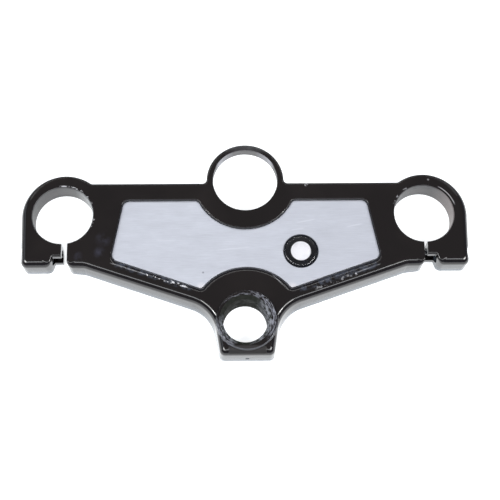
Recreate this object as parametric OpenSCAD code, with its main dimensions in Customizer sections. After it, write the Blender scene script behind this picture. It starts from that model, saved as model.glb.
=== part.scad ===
// Top clamp of a motorcycle fork: a painted aluminium casting that grips two
// fork tubes, with a steering stem boss at the front and an ignition lock ring
// at the back. A brushed plate with a small round badge lies in its top recess.
// Origin: on the steering stem's axis, at the underside. +X right, +Y to the lock ring.

/* [Machined bores] */
// Distance between the two fork tube axes
fork_span = 200; // [190:1:220]
// Distance of the fork axes behind the stem axis
fork_y = 60.7; // [56:0.1:66]
// Diameter of the fork tube bores
fork_d = 33; // [31:0.5:35]
// Chamfer at the top of each fork bore
fork_chamfer = 1; // [0.4:0.1:1.5]
// Diameter of the steering stem bore
stem_d = 24; // [22:0.5:26]
// Width of the chamfer at the top of the stem bore
stem_chamfer = 2; // [1:0.1:2.5]
// Diameter of the ignition lock bore
lock_d = 36; // [34:0.5:38]
// Distance of the lock axis behind the stem axis
lock_y = 81.3; // [79:0.1:83]
// How far the cast outline sits to the right of the machined bores
cast_shift = 0.9; // [0:0.1:1.2]

/* [Casting] */
// Height of the casting from its underside to its flat top
thick = 15; // [14:0.5:18]
// Radius along the top edge
edge_r = 4; // [3:0.1:4.2]
// Edge break along the underside
base_break = 0.6; // [0.3:0.1:0.8]
// Outer radius of the fork clamps at the underside
clamp_r = 23.7; // [22.5:0.1:26]
// Distance of the rear edge behind the stem axis
rear_y = 79.6; // [77:0.1:81]
// Radius where a clamp runs into the rear edge
clamp_blend = 3; // [2:0.5:6]
// Thickness of the lock ring, measured down from the flat top
ring_h = 7; // [5:0.5:9]
// Wall of the lock ring
ring_wall = 3.6; // [3:0.1:5]
// Edge radius of the lock ring
ring_edge = 1.2; // [0.5:0.1:1.5]
// Radius where the lock ring runs into the rear edge
ring_blend = 2.4; // [1:0.1:4]
// How much wider the casting is cut out under the lock ring
lock_relief = 1.5; // [1:0.1:2]

/* [Lugs and arms] */
// Front face of the lugs behind the stem axis, at the underside
lug_y = 31.6; // [28:0.1:33]
// Lean of the outer sides towards the front, in degrees
lug_lean = 1.9; // [0.5:0.1:4]
// Corner radius of the lugs at the underside
lug_corner = 3.3; // [3.2:0.1:5]
// Distance of the bend between lug and arm from the middle
bend_x = 91.5; // [88:0.5:94]
// Slope of the arms, in degrees
arm_slope = 19.3; // [17:0.1:21]
// Radius where an arm runs into the stem block
arm_blend = 19; // [14:0.5:22]
// Draft of the arm walls over the full height
arm_draft = 1; // [0.3:0.1:1.5]
// Draft of the lugs and the clamps over the full height
lug_draft = 0; // [0:0.1:0.6]

/* [Stem block] */
// Front face of the stem block ahead of the stem axis, at the underside
block_front = 19; // [18:0.1:22]
// Half width of the stem block at its front
block_half = 14.65; // [13:0.05:18]
// Half width of the stem block beside the stem axis
block_side = 18.5; // [17.5:0.1:20]
// Corner radius of the stem block at the underside
block_corner = 3.5; // [3.4:0.1:5]
// Draft of the stem block over the full height
block_draft = 0.4; // [0.2:0.1:1.2]
// Radius of the round pad that the stem nut bears on
pad_r = 16.8; // [16:0.1:17]
// Height of that pad above the flat top
pad_h = 1; // [0.5:0.1:1.5]
// Edge radius of the pad
pad_edge = 0.8; // [0.3:0.1:1]
// Diameter of the punch mark in the block's front face
punch_d = 2.4; // [1.5:0.1:3]
// Height of that punch mark above the underside
punch_z = 5; // [4:0.5:8]

/* [Split clamps] */
// Width of the left clamp's split
left_slot = 3.2; // [1.5:0.1:4]
// Width of the right clamp's split
right_slot = 1.8; // [1.5:0.1:4]
// Offset of the left split from its fork axis, to the middle
left_slot_in = 1.6; // [0:0.1:2.5]
// Offset of the right split from its fork axis, to the middle
right_slot_in = 0; // [0:0.1:2.5]
// Distance of the notch's rear wall behind the lug's front face
notch_deep = 5.3; // [4:0.1:6]
// Width of the notch at its rear wall
notch_w = 4.6; // [3:0.1:6]
// How much wider the notch is at the lug's front face
notch_flare = 1.6; // [0.5:0.1:2]
// Distance of the pinch bolts' axis behind the lug's front face
pinch_y = 7; // [6.5:0.1:8]
// Clearance hole for the pinch bolt, in the outer lug
pinch_d = 8.4; // [6.4:0.1:8.6]
// Tapping drill for the pinch bolt, in the inner lug
pinch_tap = 6.8; // [5:0.1:7]
// Depth of the tapped hole from the split
pinch_deep = 16; // [12:1:20]
// Diameter of the flat that the bolt's head bears on
pinch_face_d = 12.5; // [12:0.1:12.8]
// Depth of that flat below the clamp's outermost side
pinch_face = 2.6; // [2.6:0.1:3.2]

/* [Top recess] */
// Depth of the recess below the flat top
recess_deep = 3; // [3:0.1:4]
// Radius of the recess rim
rim_r = 2.8; // [1:0.1:2.8]
// Distance of the recess from the lock axis
recess_lock_r = 28.6; // [26:0.1:31]
// Distance of the recess from the stem axis
recess_stem_r = 30.5; // [28:0.1:33]
// Rear edge of the recess behind the stem axis
recess_rear = 69.6; // [67:0.1:71]
// Half width of the recess at its rear edge
recess_half = 67.7; // [64:0.1:68]
// How much wider the recess is at its outer front corners
recess_flare = 6.4; // [4:0.1:7]
// Outer front corners of the recess behind the stem axis
recess_front = 35.7; // [34:0.1:38]
// Corner radius of the recess
recess_corner = 4; // [2:0.1:6]
// Radius of the recess's corners beside the lock ring
recess_lock_corner = 3; // [2:0.1:5]
// Radius of the recess's two front tips
tip_r = 1.5; // [1:0.1:2]

/* [Underside] */
// Height of the pockets' ceiling above the underside
pocket_deep = 7; // [4:0.5:8]
// Wall left round the pockets
pocket_wall = 6; // [5:0.5:8]
// Width of the ribs between the pockets
rib_w = 4; // [3:0.5:6]
// Corner radius of the pockets
pocket_corner = 3; // [2:0.5:4]
// Draft of the pockets' walls over their depth
pocket_draft = 0.8; // [0.2:0.1:1.2]
// Distance of each lock screw boss from the middle
lock_screw_x = 28; // [27:0.5:30]
// Distance of the lock screw bosses behind the stem axis
lock_screw_y = 67.5; // [66.5:0.5:69]
// Diameter of the lock screw bosses
lock_boss_d = 15; // [14:0.5:17]
// Tapping drill of the lock screws
lock_tap = 6.8; // [5:0.1:7]
// Depth of the lock screw holes
lock_tap_deep = 9; // [7:0.5:10]

/* [Inlay and badge] */
// Thickness of the inlay plate
inlay_t = 1.2; // [0.8:0.1:2]
// Gap between the inlay plate and the recess's wall
inlay_gap = 0.15; // [0.1:0.05:0.4]
// Diameter of the badge
badge_d = 19.4; // [16:0.2:22]
// Thickness of the badge's foil
badge_foil_t = 0.4; // [0.3:0.1:0.8]
// Height of the clear dome's edge above the foil
dome_edge = 0.5; // [0.3:0.1:0.8]
// Height of the clear dome at its middle above the foil
dome_top = 1.5; // [1:0.1:2]
// Distance of the badge from the middle of the plate
badge_x = 30.1; // [26:0.1:36]
// Distance of the badge behind the stem axis
badge_y = 39.6; // [38:0.1:46]

/* [Hidden] */
// Steps of the round stretches, in degrees
corner_step = 10;
bore_fn = 96;
// How far a cut runs past the surface it starts from
over = 1;
fillet_steps = 3;
same_point = 0.001;
least_r = 0.3;
arm_tan = tan(arm_slope);
fork_x = fork_span / 2;
fork_r = fork_d / 2;
ring_r = lock_d / 2 + ring_wall;
side_x = fork_x + clamp_r;
lug_x = fork_x + (clamp_r - (fork_y - lug_y) * sin(lug_lean)) / cos(lug_lean);
inlay_z = thick - recess_deep;
foil_z = inlay_z + inlay_t;
dome_z = foil_z + badge_foil_t;

// Outlines are lists of corners, each with its place, its radius and the draft
// of the wall there. They run counter-clockwise.

function flip(half) = [for (i = [len(half) - 1 : -1 : 0]) [-half[i].x, half[i].y, half[i][2], half[i][3]]];

// The points of one rounded corner. Each has the corner's centre, the outward
// normal, the draft, the radius, which is negative in a hollow, and the way that
// the centre moves where an inset has used the radius up.
function corner_arc(p, ahead, behind) =
    let (from = atan2(p.y - behind.y, p.x - behind.x),
         to = atan2(ahead.y - p.y, ahead.x - p.x),
         turn = (to - from + 540) % 360 - 180,
         side = sign(turn),
         reach = p[2] * tan(abs(turn) / 2),
         cx = p.x - reach * cos(from) - side * p[2] * sin(from),
         cy = p.y - reach * sin(from) + side * p[2] * cos(from),
         n = ceil(abs(turn) / corner_step),
         both = 1 + cos(turn))
    [for (i = [0 : n])
        let (a = from + turn * i / n)
        [cx, cy, sin(a), -cos(a), p[3], side * p[2],
         -(sin(from) + sin(to)) / both, (cos(from) + cos(to)) / both]];

// Where a point of a path lies when the outline is inset.
function inset_point(p, inset) =
    let (r = p[5] > 0 ? max(p[5] - inset, least_r) : p[5] - inset,
         slip = r + inset - p[5])
    [p[0] + r * p[2] + slip * p[6], p[1] + r * p[3] + slip * p[7]];

// Neighbouring corners may share a point, which is kept once.
function round_path(corners) =
    let (n = len(corners),
         all = [for (i = [0 : n - 1])
             each corner_arc(corners[i], corners[(i + 1) % n], corners[(i + n - 1) % n])],
         m = len(all))
    [for (i = [0 : m - 1])
        if (norm(inset_point(all[i], 0) - inset_point(all[(i + 1) % m], 0)) > same_point) all[i]];

function area_sign(a, b, c) = (b.x - a.x) * (c.y - a.y) - (b.y - a.y) * (c.x - a.x);

function is_ear(points, ring, i) =
    let (n = len(ring), a = points[ring[(i + n - 1) % n]], b = points[ring[i]], c = points[ring[(i + 1) % n]])
    area_sign(a, b, c) > 0
    && len([for (k = ring) let (p = points[k])
        if (p != a && p != b && p != c
            && area_sign(a, b, p) >= 0 && area_sign(b, c, p) >= 0 && area_sign(c, a, p) >= 0) k]) == 0;

// The triangles that fill a ring of points, cut off one ear at a time.
function fill_ring(points, ring, i = 0, done = []) =
    let (n = len(ring), at = i % n)
    n == 3 ? concat(done, [ring])
    : is_ear(points, ring, at)
        ? fill_ring(points, [for (k = [0 : n - 1]) if (k != at) ring[k]], at + 1,
            concat(done, [[ring[(at + n - 1) % n], ring[at], ring[(at + 1) % n]]]))
        : fill_ring(points, ring, at + 1, done);

// A solid through rings of one path. Each level is [height, inset, share of the draft].
module loft(path, levels) {
    n = len(path);
    top = (len(levels) - 1) * n;
    points = [for (v = levels, p = path) [each inset_point(p, v[1] + v[2] * p[4]), v[0]]];
    walls = [for (k = [0 : len(levels) - 2], i = [0 : n - 1])
        let (a = k * n + i, b = k * n + (i + 1) % n)
        [a, a + n, b + n, b]];
    bottom = fill_ring(points, [for (i = [0 : n - 1]) i]);
    roof = [for (t = fill_ring(points, [for (i = [0 : n - 1]) top + i])) [t[2], t[1], t[0]]];
    polyhedron(points = points, faces = concat(bottom, roof, walls));
}

// A turned solid on the Z axis through pairs of radius and height.
module turned(profile) {
    rotate_extrude($fn = bore_fn) polygon(profile);
}

// The casting's outline at the underside, right half from front to back.
side_mid = (90 - lug_lean) / 2;
side_reach = clamp_r / cos((90 + lug_lean) / 2);
clamp_join = asin((rear_y + clamp_blend - fork_y) / (clamp_r + clamp_blend));
join_mid = (90 + clamp_join) / 2;
join_reach = clamp_r / cos((90 - clamp_join) / 2);
join_x = fork_x - (clamp_r - (rear_y - fork_y) * sin(clamp_join)) / cos(clamp_join);
arm_y = function (x) lug_y + (x - bend_x) * arm_tan;
block_rise = (block_side - block_half) / block_front;
crotch_x = (block_side + block_rise * (lug_y - bend_x * arm_tan)) / (1 - block_rise * arm_tan);

body_half = [
    [block_half, -block_front, block_corner, block_draft],
    [crotch_x, arm_y(crotch_x), arm_blend, arm_draft],
    [bend_x, lug_y, 2 * lug_corner, (arm_draft + lug_draft) / 2],
    [lug_x, lug_y, lug_corner, lug_draft],
    [fork_x + side_reach * cos(side_mid), fork_y + side_reach * sin(side_mid), clamp_r, lug_draft],
    [fork_x - join_reach * cos(join_mid), fork_y + join_reach * sin(join_mid), clamp_r, lug_draft],
    [join_x, rear_y, clamp_blend, lug_draft]
];
body_path = round_path(concat(body_half, flip(body_half)));

body_levels = concat(
    [[0, base_break, 0], [base_break, 0, 0]],
    [for (i = [0 : fillet_steps])
        let (a = 90 * i / fillet_steps)
        [thick - edge_r + edge_r * sin(a), edge_r * (1 - cos(a)), 1]]);

// The top recess's outline, right half from front to back. It runs round the
// stem boss and the lock ring at a constant distance and has a corner at each end.
recess_x = recess_half + recess_flare;
recess_k = recess_front - recess_x * arm_tan;
tip_k = recess_k + tip_r / cos(arm_slope);
tip_c = recess_stem_r + tip_r;
tip_x = (sqrt(pow(tip_c / cos(arm_slope), 2) - pow(tip_k, 2)) - arm_tan * tip_k) * pow(cos(arm_slope), 2);
tip_a = atan2(arm_tan * tip_x + tip_k, tip_x);
tip_corner_x = (recess_stem_r - recess_k * sin(tip_a)) / (cos(tip_a) + arm_tan * sin(tip_a));
lock_a = asin((lock_y - recess_rear + recess_lock_corner) / (recess_lock_r + recess_lock_corner));
lock_corner_x = (recess_lock_r - (lock_y - recess_rear) * sin(lock_a)) / cos(lock_a);

recess_half_path = [
    [tip_corner_x, recess_k + arm_tan * tip_corner_x, tip_r, 0],
    [recess_x, recess_front, recess_corner, 0],
    [recess_half, recess_rear, recess_corner, 0],
    [lock_corner_x, recess_rear, recess_lock_corner, 0]
];
recess_path = round_path(concat(
    [[0, recess_stem_r / sin(tip_a), recess_stem_r, 0]],
    recess_half_path,
    [[0, lock_y - recess_lock_r / sin(lock_a), recess_lock_r, 0]],
    flip(recess_half_path)));

recess_levels = concat(
    [[inlay_z, 0, 0]],
    [for (i = [0 : fillet_steps])
        let (a = 90 * i / fillet_steps)
        [thick - rim_r + rim_r * sin(a), -rim_r * (1 - cos(a)), 0]],
    [[thick + over, -rim_r, 0]]);

// The underside's pockets stand in a row from the middle to each clamp.
pocket_out = fork_x - clamp_r - rib_w;
pocket_in = lock_d / 2 + 1.5 * rib_w;
pocket_n = 3;
pocket_w = (pocket_out - pocket_in - (pocket_n - 1) * rib_w) / pocket_n;
pocket_rear = rear_y - pocket_wall;
pocket_low = function (x) arm_y(x) + pocket_wall / cos(arm_slope);

function pocket_path(x0, x1, y0, y1, rear) = round_path([
    [x0, y0, pocket_corner, pocket_draft],
    [x1, y1, pocket_corner, pocket_draft],
    [x1, rear, pocket_corner, pocket_draft],
    [x0, rear, pocket_corner, pocket_draft]]);

pocket_levels = [[-over, 0, 0], [0, 0, 0], [pocket_deep - base_break, 0, 1], [pocket_deep, base_break, 1]];

module pockets() {
    for (i = [0 : pocket_n - 1]) {
        x0 = pocket_in + i * (pocket_w + rib_w);
        x1 = x0 + pocket_w;
        loft(pocket_path(x0, x1, pocket_low(x0), pocket_low(x1), pocket_rear), pocket_levels);
    }
    middle_front = recess_stem_r - rib_w;
    middle_rear = lock_y - lock_d / 2 - pocket_wall;
    loft(pocket_path(rib_w / 2, pocket_in - rib_w, middle_front, middle_front, middle_rear), pocket_levels);
}

module lock_ring() {
    low = thick - ring_h;
    inner = lock_d / 2 - over;
    round_top = [for (i = [0 : fillet_steps])
        let (a = 90 * i / fillet_steps)
        [ring_r - ring_edge * (1 - cos(a)), thick - ring_edge * (1 - sin(a))]];
    round_low = [for (i = [fillet_steps : -1 : 0])
        let (a = 90 * i / fillet_steps)
        [ring_r - ring_edge * (1 - cos(a)), low + ring_edge * (1 - sin(a))]];
    translate([0, lock_y, 0]) turned(concat([[inner, thick], [inner, low]], round_low, round_top));
}

// The small webs that round the corners between the lock ring and the rear edge.
module ring_web() {
    rear = rear_y - lug_draft;
    inside = rear - edge_r;
    mid_y = rear + ring_blend;
    mid_x = sqrt(pow(ring_r + ring_blend, 2) - pow(lock_y - mid_y, 2));
    translate([0, 0, thick - ring_h]) linear_extrude(ring_h - ring_edge / 2) difference() {
        polygon([[0, inside], [mid_x, inside], [mid_x, mid_y], [0, lock_y]]);
        translate([mid_x, mid_y]) circle(ring_blend, $fn = bore_fn);
    }
}

module nut_pad() {
    high = thick + pad_h;
    rim = [for (i = [0 : fillet_steps])
        let (a = 90 * i / fillet_steps)
        [pad_r - pad_edge * (1 - cos(a)), high - pad_edge * (1 - sin(a))]];
    turned(concat([[0, high], [0, thick - edge_r], [pad_r, thick - edge_r]], rim));
}

module lock_screw_boss() {
    translate([lock_screw_x, lock_screw_y, 0]) cylinder(h = inlay_z - over, d = lock_boss_d, $fn = bore_fn);
}

// The casting before machining, with its middle at x = 0.
module cast_form() {
    difference() {
        loft(body_path, body_levels);
        loft(recess_path, recess_levels);
        pockets();
        mirror([1, 0, 0]) pockets();
        translate([0, -block_front, punch_z]) sphere(d = punch_d, $fn = 32);
    }
    lock_ring();
    ring_web();
    mirror([1, 0, 0]) ring_web();
    nut_pad();
    lock_screw_boss();
    mirror([1, 0, 0]) lock_screw_boss();
}

// The machined cuts of the right clamp. Its mirror image serves the left one.
module clamp_cuts(slot, slot_in) {
    slot_x = fork_x - slot_in;
    inner_x = slot_x - slot / 2;
    outer_x = slot_x + slot / 2;
    front = lug_y - over;
    notch_y = lug_y + notch_deep;
    notch_x = outer_x + notch_w;
    mouth_x = notch_x + notch_flare;
    outer_corner = [for (p = corner_arc([mouth_x, lug_y, lug_corner, 0], [side_x, lug_y], [notch_x, notch_y]))
        inset_point(p, 0)];
    inner_corner = [for (p = corner_arc([inner_x, lug_y, lug_corner, 0], [inner_x, fork_y], [bend_x, lug_y]))
        inset_point(p, 0)];
    translate([fork_x, fork_y, -over]) cylinder(h = thick + 2 * over, r = fork_r, $fn = bore_fn);
    translate([fork_x, fork_y, thick - fork_chamfer])
        cylinder(h = fork_chamfer + over, r1 = fork_r, r2 = fork_r + fork_chamfer + over, $fn = bore_fn);
    translate([inner_x, front, -over]) cube([slot, fork_y - front, thick + 2 * over]);
    translate([0, 0, -over]) linear_extrude(thick + 2 * over) polygon(concat(
        [[slot_x, notch_y], [notch_x, notch_y]],
        outer_corner, [[outer_corner[len(outer_corner) - 1].x, front]],
        [[inner_corner[0].x, front]], inner_corner));
    translate([slot_x, lug_y + pinch_y, thick / 2]) rotate([0, 90, 0]) {
        cylinder(h = clamp_r + 2 * over, d = pinch_d, $fn = bore_fn);
        translate([0, 0, side_x - slot_x - pinch_face])
            cylinder(h = pinch_face + 2 * over, d = pinch_face_d, $fn = bore_fn);
    }
    translate([inner_x - pinch_deep, lug_y + pinch_y, thick / 2]) rotate([0, 90, 0])
        cylinder(h = pinch_deep + slot / 2, d = pinch_tap, $fn = bore_fn);
}

module lock_screw_hole() {
    translate([lock_screw_x, lock_screw_y, -over])
        cylinder(h = lock_tap_deep + over, d = lock_tap, $fn = bore_fn);
}

module yoke_casting() {
    color("#231f1d") difference() {
        translate([cast_shift, 0, 0]) cast_form();
        clamp_cuts(right_slot, right_slot_in);
        mirror([1, 0, 0]) clamp_cuts(left_slot, left_slot_in);
        translate([0, 0, -over]) cylinder(h = thick + pad_h + 2 * over, d = stem_d, $fn = bore_fn);
        translate([0, 0, thick + pad_h - stem_chamfer])
            cylinder(h = stem_chamfer + over, r1 = stem_d / 2,
                r2 = stem_d / 2 + stem_chamfer + over, $fn = bore_fn);
        translate([cast_shift, 0, 0]) {
            translate([0, lock_y, -over]) cylinder(h = thick + 2 * over, d = lock_d, $fn = bore_fn);
            translate([0, lock_y, -over])
                cylinder(h = thick - ring_h + over, r = lock_d / 2 + lock_relief, $fn = bore_fn);
            lock_screw_hole();
            mirror([1, 0, 0]) lock_screw_hole();
        }
    }
}

module inlay_plate() {
    color("#cfd3dc") translate([cast_shift, 0, 0])
        loft(recess_path, [[inlay_z, inlay_gap, 0], [foil_z, inlay_gap, 0]]);
}

module at_badge() {
    translate([cast_shift + badge_x, badge_y, 0]) children();
}

module badge_foil() {
    color("#16181c") at_badge() translate([0, 0, foil_z])
        cylinder(h = badge_foil_t, d = badge_d, $fn = bore_fn);
}

// Clear resin, crowned by its own surface tension.
module badge_dome() {
    r = badge_d / 2 - inlay_gap;
    crown = dome_top - dome_edge;
    ball_r = (r * r + crown * crown) / (2 * crown);
    steps = 8;
    color("#dfe6ee", 0.4) at_badge() translate([0, 0, dome_z]) turned(concat(
        [[0, 0], [r, 0]],
        [for (i = [0 : steps])
            let (x = r * (1 - i / steps))
            [x, dome_top - ball_r + sqrt(ball_r * ball_r - x * x)]]));
}

yoke_casting();
inlay_plate();
badge_foil();
badge_dome();
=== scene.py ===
"""Looks of a motorcycle fork's top clamp: gloss black casting, brushed inlay, domed badge."""
import math

import bmesh
import bpy
from mathutils import Matrix, Vector


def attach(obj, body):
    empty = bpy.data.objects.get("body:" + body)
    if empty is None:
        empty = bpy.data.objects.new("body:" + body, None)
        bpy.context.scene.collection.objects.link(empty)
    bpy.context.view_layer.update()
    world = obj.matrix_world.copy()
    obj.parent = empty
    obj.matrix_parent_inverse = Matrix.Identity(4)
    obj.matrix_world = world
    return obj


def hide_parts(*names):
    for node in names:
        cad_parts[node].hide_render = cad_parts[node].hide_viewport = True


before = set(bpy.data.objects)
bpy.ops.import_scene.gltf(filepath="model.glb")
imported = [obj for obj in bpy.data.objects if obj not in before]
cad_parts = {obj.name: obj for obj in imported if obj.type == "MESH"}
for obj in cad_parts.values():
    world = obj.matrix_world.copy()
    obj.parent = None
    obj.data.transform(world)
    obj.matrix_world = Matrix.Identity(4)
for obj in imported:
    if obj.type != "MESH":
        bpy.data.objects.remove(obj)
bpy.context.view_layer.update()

MM = 0.001

# The part's sizes in millimetres, as in its source, apart from FORK_CHAMFER, PINCH_FACE and LEAST_R. The source has
# no size of its own for FORK_UNDERCUT, LOCK_CHAMFER, LOCK_UNDERCUT, REAR_EDGE_R, BEND_BACK, SAW_EDGE, NOTCH_EDGE,
# NOTCH_CORNER, FAR_RIM_R, POCKET_EDGE, INLAY_BREAK, FOIL_BREAK, BADGE_DISC_R, DOME_EDGE_R, DOME_CROWN and DOME_LEAN.
FORK_X, FORK_Y, FORK_R = 100.0, 60.7, 16.5
FORK_CHAMFER, FORK_UNDERCUT = 0.45, 2.0
STEM_R, STEM_CHAMFER = 12.0, 2.0
LOCK_R, LOCK_Y, LOCK_CHAMFER = 18.0, 81.3, 0.3
LOCK_RELIEF, LOCK_UNDERCUT = 1.5, 1.2
CAST_SHIFT = 0.9
THICK, EDGE_R, REAR_EDGE_R, BASE_BREAK = 15.0, 4.0, 1.2, 0.6
CLAMP_R, REAR_Y, CLAMP_BLEND = 23.7, 79.6, 3.0
RING_H, RING_WALL, RING_EDGE, RING_BLEND = 7.0, 3.6, 1.2, 2.4
LUG_Y, LUG_LEAN, LUG_CORNER = 31.6, math.radians(1.9), 3.3
BEND_X, BEND_BACK, ARM_SLOPE, ARM_BLEND = 91.5, 3.0, math.radians(19.3), 19.0
ARM_DRAFT, LUG_DRAFT = 1.0, 0.0
BLOCK_FRONT, BLOCK_HALF, BLOCK_SIDE = 19.0, 14.65, 18.5
BLOCK_CORNER, BLOCK_DRAFT = 3.5, 0.4
PAD_R, PAD_H, PAD_EDGE = 16.8, 1.0, 0.8
PUNCH_R, PUNCH_Z = 1.2, 5.0
NOTCH_DEEP, NOTCH_W, NOTCH_FLARE = 5.3, 4.6, 1.6
SAW_EDGE, NOTCH_EDGE, NOTCH_CORNER = 0.3, 1.4, 0.5
SLOTS = {1: (1.8, 0.0), -1: (3.2, 1.6)}  # by side: the saw cut's width, and how far it is inboard of the axis
SLOT_REACH = 8.0
PINCH_Y, PINCH_R, PINCH_TAP_R, PINCH_DEEP = 7.0, 4.2, 3.4, 16.0
PINCH_FACE_R, PINCH_FACE = 6.25, 2.0
RECESS_DEEP, RIM_R, FAR_RIM_R = 3.0, 2.8, 0.6
RECESS_LOCK_R, RECESS_STEM_R = 28.6, 30.5
RECESS_REAR, RECESS_HALF, RECESS_FLARE = 69.6, 67.7, 6.4
RECESS_FRONT, RECESS_CORNER, RECESS_LOCK_CORNER, TIP_R = 35.7, 4.0, 3.0, 1.5
POCKETS, POCKET_DEEP, POCKET_WALL, RIB_W = 3, 7.0, 6.0, 4.0
POCKET_CORNER, POCKET_DRAFT, POCKET_EDGE = 3.0, 0.8, 1.2
LOCK_SCREW = (28.0, 67.5)
LOCK_BOSS_R, LOCK_TAP_R, LOCK_TAP_DEEP = 7.5, 3.4, 9.0
INLAY_T, INLAY_GAP, INLAY_BREAK = 1.2, 0.15, 0.15
BADGE = (30.1, 39.6)
BADGE_R, BADGE_DISC_R, FOIL_T, FOIL_BREAK, DOME_TOP = 9.7, 5.5, 0.4, 0.1, 1.5
DOME_EDGE_R, DOME_CROWN, DOME_LEAN = 2.3, math.radians(4), math.radians(60)
INLAY_Z = THICK - RECESS_DEEP
FOIL_Z = INLAY_Z + INLAY_T
DOME_Z = FOIL_Z + FOIL_T
ARM_TAN = math.tan(ARM_SLOPE)
RING_R = LOCK_R + RING_WALL

# The smallest radius that an outer corner keeps where its edge is rounded.
LEAST_R = 2.0

# Facets: the angle of one step on the outline, steps round a turned piece, steps of an edge, and the angle from
# which an edge is shaded sharp.
STEP = math.radians(2.5)
ROUND, BOLT_ROUND, PUNCH_ROUND = 160, 64, 24
FILLET, POCKET_FILLET, DOME_RINGS, CROWN_RINGS = 14, 5, 16, 8
CREASE = math.radians(32)

# Small distances in millimetres: they keep cuts and joins clean, and find the faces of each bore.
CLOSEST, OVER = 0.002, 1.0
LOWER_INSET, LOWER_LID_INSET, BOSS_LIFT = 0.02, 0.1, 0.01
BORE_SLACK = 0.03

# Marks in the top view, in millimetres: wear, mottling and painted highlights. A band is its two ends, a spot its
# centre and radius.
LEFT_RIM, RIGHT_RIM = ((-70, 32.3), (-29, 18.3)), ((30, 17.5), (72, 31.2))
LEFT_CHIPS, RIGHT_CHIPS = ((-54.5, 26.6), (-31.5, 19.2)), ((38, 17.6), (62, 26.4))
# Thin painted highlights along the rims.
RIM_HIGHLIGHTS = [((-72.6, 32.7), (-53.5, 26.1)), ((61.5, 26.6), (73.6, 31.0)), ((15.5, 25.0), (23.0, 17.2))]
CHIPS = [(34.9, 78.3, 1.1, 0.45), (103.6, 80.9, 0.8, 0.2), (-82.9, 58.3, 0.8, 0.5), (-83.3, 56.2, 0.5, 0.25),
         (-84.1, 54.4, 0.65, 0.4), (60.5, 25.9, 0.6, 0.8)]  # the last value is how far the chip is worn through
SMUDGES = [(-77.5, 46.5, 5.0), (-79.0, 39.0, 4.0), (-90.0, 36.5, 3.5)]
RUBS = [((29, 56.2), (39, 58.2)), ((57, 53.6), (65, 55.4)), ((26, 52), (33, 53)), ((-48, 46.5), (-38, 46.0)),
        ((-15, 40.5), (3, 42))]
PLATE_TIPS = [(-23.6, 19.4), (25.9, 19.2)]
PLATE_SPECK = (-22.7, 27.6, 0.75)
# The pad's rear arc is a painted highlight.
PAD_RIGHT, PAD_LEFT, PAD_REAR_HIGHLIGHT = (13.8, 16.8), (13.8, 16.4), (14.0, 15.2)
BORE_RIM_LEFT, BORE_RIM_RIGHT, BORE_ARC = (16.9, 17.8), (16.9, 18.0), (18.1, 18.6)
# The notches, where the painted floor reflection is left out.
NOTCH_MID, NOTCH_HALF = 101.2, 4.2

# Colours, scene-linear.
PAINT, PAINT_HAZE = (0.0058, 0.0043, 0.0043), (0.0085, 0.0064, 0.0062)
# The rims' colour is a paler grey-blue mottling.
# The walls' low colour is a painted reflection of the floor.
RIM_MOTTLE, SMUDGE, FLOOR_REFLECTION_TINT = (0.052, 0.06, 0.08), (0.034, 0.034, 0.05), (0.15, 0.18, 0.215)
# The pad's pale edge colour is a painted highlight, and its scratch colour also paints a highlight on the rear arc.
# The ring's haze colour is haze with a painted sheen.
PAD_SCRATCH_AND_HIGHLIGHT, PAD_EDGE_HIGHLIGHT, RING_HAZE_AND_SHEEN = (0.27, 0.28, 0.32), (0.10, 0.105, 0.12), (0.050, 0.050, 0.052)
# The bare metal colour also paints the thin highlights on the rims.
PUNCH_GREY, BARE_METAL_AND_HIGHLIGHT = (0.03, 0.035, 0.045), (0.62, 0.62, 0.64)
BORE_DARK, BORE_GREY = (0.058, 0.058, 0.060), (0.120, 0.118, 0.117)
# The pale and the warm bore colours are painted reflections.
BORE_PALE_REFLECTION, BORE_WARM_REFLECTION = (0.42, 0.43, 0.43), (0.21, 0.185, 0.18)
RING_BLACK, RING_DARK, RING_GREY = (0.006, 0.0045, 0.0045), (0.07, 0.066, 0.068), (0.12, 0.115, 0.115)
# The ring's pale colour paints highlights at the ends of its rear.
RING_END_HIGHLIGHT = (0.40, 0.40, 0.43)
STEM_DARK, STEM_RUST, STEM_SCRATCH = (0.006, 0.008, 0.006), (0.036, 0.037, 0.032), (0.30, 0.31, 0.34)
# The plate's shade colour is a painted shade.
PLATE_DARK, PLATE_LIGHT, PLATE_PAINTED_SHADE = (0.475, 0.492, 0.545), (0.570, 0.592, 0.652), (0.30, 0.30, 0.34)
RUB, TIP, SPECK = (0.86, 0.87, 0.93), (0.86, 0.81, 0.82), (0.10, 0.10, 0.12)
BADGE_BLACK, BADGE_WHITE = (0.005, 0.0055, 0.008), (0.97, 0.97, 0.98)

# The studio, in metres. FLOOR_SEEN and FLOOR_IN_GLOSS are the floor's own glow to the camera and in reflections.
FLOOR_HALF, FLOOR_GREY, FLOOR_TINT = 4.0, 0.6, (0.96, 0.985, 1, 1)
FLOOR_SEEN, FLOOR_IN_GLOSS = 0.8, 1.15
WORLD_LEVELS = ((0.0, (0.42, 0.46, 0.55)), (1.0, (0.30, 0.30, 0.31)), (0.12, (0.17, 0.20, 0.28)),
                (0.55, (0.185, 0.20, 0.24)), (0.8, (0.245, 0.24, 0.245)))
LAMP_AIM = (0, 0.04, 0)
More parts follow.
